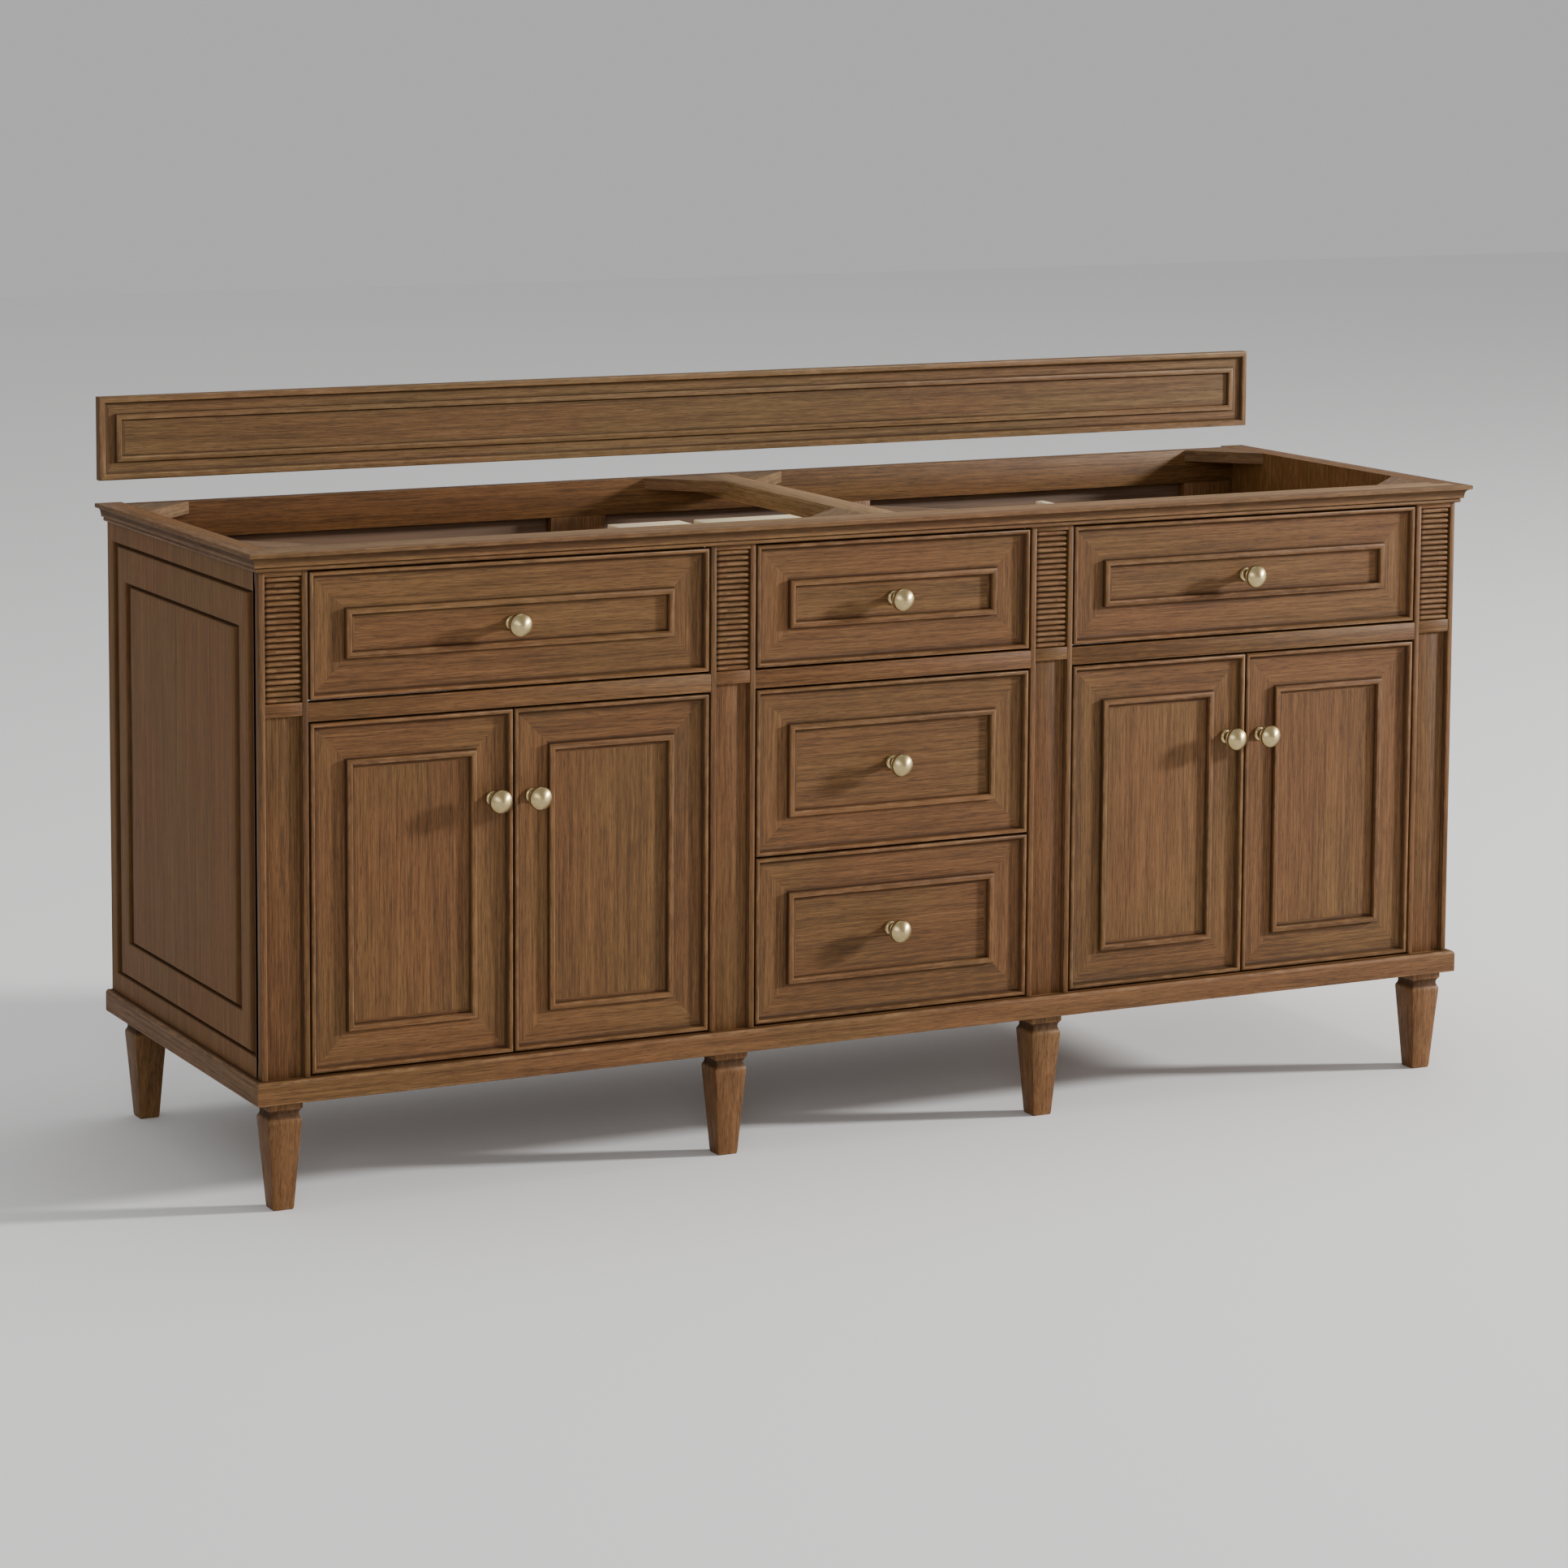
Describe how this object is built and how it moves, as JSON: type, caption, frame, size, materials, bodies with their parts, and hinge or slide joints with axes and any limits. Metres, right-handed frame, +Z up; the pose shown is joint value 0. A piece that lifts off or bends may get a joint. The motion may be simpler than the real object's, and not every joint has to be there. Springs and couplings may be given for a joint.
{
  "type": "bathroom vanity cabinet",
  "caption": "Wide freestanding bathroom vanity cabinet with reeded pilasters, inset drawers and doors that open, tapered feet, an open top for a stone slab and a matching backsplash.",
  "frame": {"origin": "on the floor under the middle of the overall box, knobs and backsplash included", "axes": "+Z up, +X to the right along the front, +Y to the wall behind; the doors and drawers face -Y"},
  "size_m": [1.829, 0.6104, 0.9833],
  "materials": {
    "walnut": "satin mid-brown walnut stain with dark glaze in the grooves and lightly rubbed edges",
    "inner_wood": "dull stained inner boards",
    "pale_wood": "clear finished pale wood",
    "knob_metal": "satin champagne metal",
    "runner_steel": "zinc plated steel"
  },
  "bodies": {
    "cabinet": {"back_boards": "inner_wood", "back_frame": "walnut", "backsplash_bead": "walnut", "backsplash_board": "walnut", "base_band_front": "walnut", "base_band_sides": "walnut", "bottom_board": "inner_wood", "bottom_rail": "walnut", "corner_gussets": "walnut", "crown_front": "walnut", "crown_sides": "walnut", "drawer_rails": "walnut", "feet_back": "walnut", "feet_front": "walnut", "fixed_runners": "runner_steel", "hinge_plates": "runner_steel", "pale_kickers": "pale_wood", "partitions": "inner_wood", "pilaster_1": "walnut", "pilaster_2": "walnut", "pilaster_3": "walnut", "pilaster_4": "walnut", "reed_panels": "walnut", "runner_packing": "pale_wood", "side_panel_left": "walnut", "side_panel_right": "walnut", "top_divider": "walnut", "top_rail_front": "walnut"},
    "door_1": {"door_1_front": "walnut", "door_1_hinges": "runner_steel", "door_1_knob": "knob_metal"},
    "door_2": {"door_2_front": "walnut", "door_2_hinges": "runner_steel", "door_2_knob": "knob_metal"},
    "door_3": {"door_3_front": "walnut", "door_3_hinges": "runner_steel", "door_3_knob": "knob_metal"},
    "door_4": {"door_4_front": "walnut", "door_4_hinges": "runner_steel", "door_4_knob": "knob_metal"},
    "drawer_bottom": {"drawer_bottom_box": "pale_wood", "drawer_bottom_front": "walnut", "drawer_bottom_knob": "knob_metal", "drawer_bottom_runners": "runner_steel"},
    "drawer_left": {"drawer_left_box": "pale_wood", "drawer_left_front": "walnut", "drawer_left_knob": "knob_metal", "drawer_left_runners": "runner_steel"},
    "drawer_middle": {"drawer_middle_box": "pale_wood", "drawer_middle_front": "walnut", "drawer_middle_knob": "knob_metal", "drawer_middle_runners": "runner_steel"},
    "drawer_right": {"drawer_right_box": "pale_wood", "drawer_right_front": "walnut", "drawer_right_knob": "knob_metal", "drawer_right_runners": "runner_steel"},
    "drawer_top": {"drawer_top_box": "pale_wood", "drawer_top_front": "walnut", "drawer_top_knob": "knob_metal", "drawer_top_runners": "runner_steel"}
  },
  "joints": [
    {"name": "drawer_left_slide", "type": "slide", "parent": "cabinet", "child": "drawer_left", "axis": [0, -1, 0], "range_m": [0, 0.35]},
    {"name": "drawer_right_slide", "type": "slide", "parent": "cabinet", "child": "drawer_right", "axis": [0, -1, 0], "range_m": [0, 0.35]},
    {"name": "drawer_top_slide", "type": "slide", "parent": "cabinet", "child": "drawer_top", "axis": [0, -1, 0], "range_m": [0, 0.35]},
    {"name": "drawer_middle_slide", "type": "slide", "parent": "cabinet", "child": "drawer_middle", "axis": [0, -1, 0], "range_m": [0, 0.35]},
    {"name": "drawer_bottom_slide", "type": "slide", "parent": "cabinet", "child": "drawer_bottom", "axis": [0, -1, 0], "range_m": [0, 0.35]},
    {"name": "door_1_hinge", "type": "hinge", "parent": "cabinet", "child": "door_1", "pos_m": [-0.831, -0.27425, 0.3965], "axis": [0, 0, -1], "range_deg": [0, 95]},
    {"name": "door_2_hinge", "type": "hinge", "parent": "cabinet", "child": "door_2", "pos_m": [-0.274, -0.27425, 0.3965], "axis": [0, 0, 1], "range_deg": [0, 95]},
    {"name": "door_3_hinge", "type": "hinge", "parent": "cabinet", "child": "door_3", "pos_m": [0.274, -0.27425, 0.3965], "axis": [0, 0, -1], "range_deg": [0, 95]},
    {"name": "door_4_hinge", "type": "hinge", "parent": "cabinet", "child": "door_4", "pos_m": [0.831, -0.27425, 0.3965], "axis": [0, 0, 1], "range_deg": [0, 95]}
  ]
}
